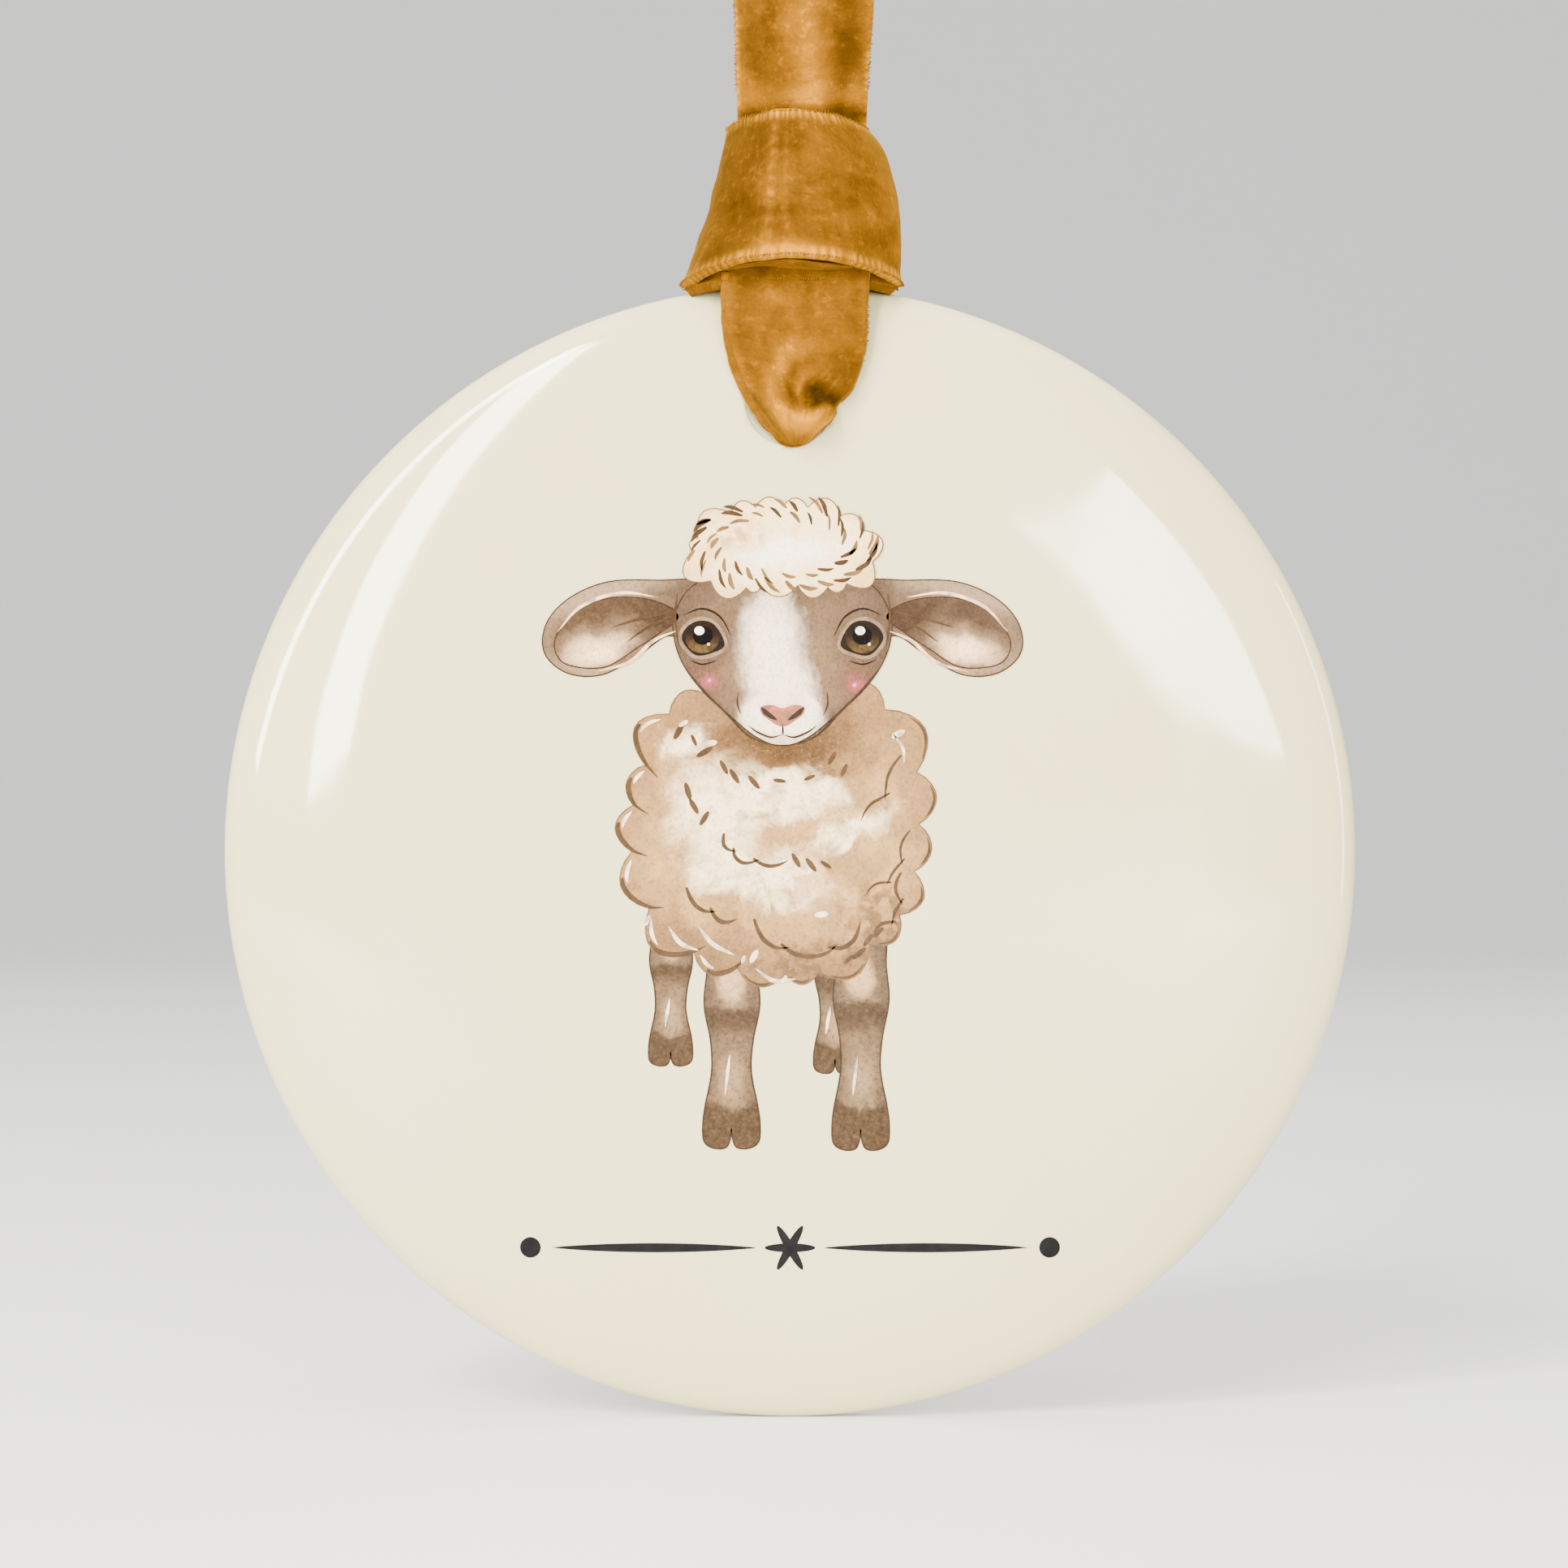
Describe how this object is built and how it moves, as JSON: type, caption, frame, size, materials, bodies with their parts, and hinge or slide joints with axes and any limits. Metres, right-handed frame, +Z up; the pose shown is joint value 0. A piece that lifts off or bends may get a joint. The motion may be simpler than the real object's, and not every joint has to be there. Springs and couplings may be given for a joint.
{
  "type": "round ceramic christmas ornament",
  "caption": "Round glazed ceramic tree ornament with a printed lamb, hung from a knotted velvet ribbon loop; the disc rocks on the ribbon, which twists and bends.",
  "frame": {"origin": "top inside of the ribbon's eye, where a hook or twig carries the ornament", "axes": "+Z up, -Y out of the printed face, +X to the right seen from the front and along the opening of the eye"},
  "size_m": [0.076, 0.0082, 0.1765],
  "materials": {
    "glaze": "high gloss cream glaze over white ceramic",
    "fleece_print": "glossy print, peach wool",
    "skin_print": "glossy print, taupe skin",
    "wool_print": "glossy print, cream wool",
    "black_print": "glossy print, black line",
    "velvet": "gold velvet pile"
  },
  "bodies": {
    "hanging_loop": {"end_knot": "velvet", "left_tail": "velvet", "right_tail": "velvet", "front_strand_upper": "velvet", "back_strand_upper": "velvet"},
    "lower_strands": {"front_strand_lower": "velvet", "back_strand_lower": "velvet"},
    "knotted_ribbon": {"rim_knot": "velvet", "front_leg": "velvet", "hole_stretch": "velvet", "back_leg": "velvet"},
    "disc": {"ceramic_disc": "glaze", "print_fleece": "fleece_print", "print_face": "skin_print", "print_wool_cap": "wool_print", "print_ears": "skin_print", "print_legs": "skin_print", "print_flourish": "black_print"}
  },
  "joints": [
    {"name": "ribbon_twist", "type": "hinge", "parent": "hanging_loop", "child": "lower_strands", "pos_m": [0, 0, -0.033], "axis": [0, 0, 1], "range_deg": [-90, 90], "stiffness_Nm_per_rad": 0.00008},
    {"name": "ribbon_sway", "type": "hinge", "parent": "lower_strands", "child": "knotted_ribbon", "pos_m": [0, 0, -0.0633], "axis": [1, 0, 0], "range_deg": [-30, 30]},
    {"name": "disc_swing", "type": "hinge", "parent": "knotted_ribbon", "child": "disc", "pos_m": [0, 0, -0.083], "axis": [0, 1, 0], "range_deg": [-10, 10]}
  ]
}
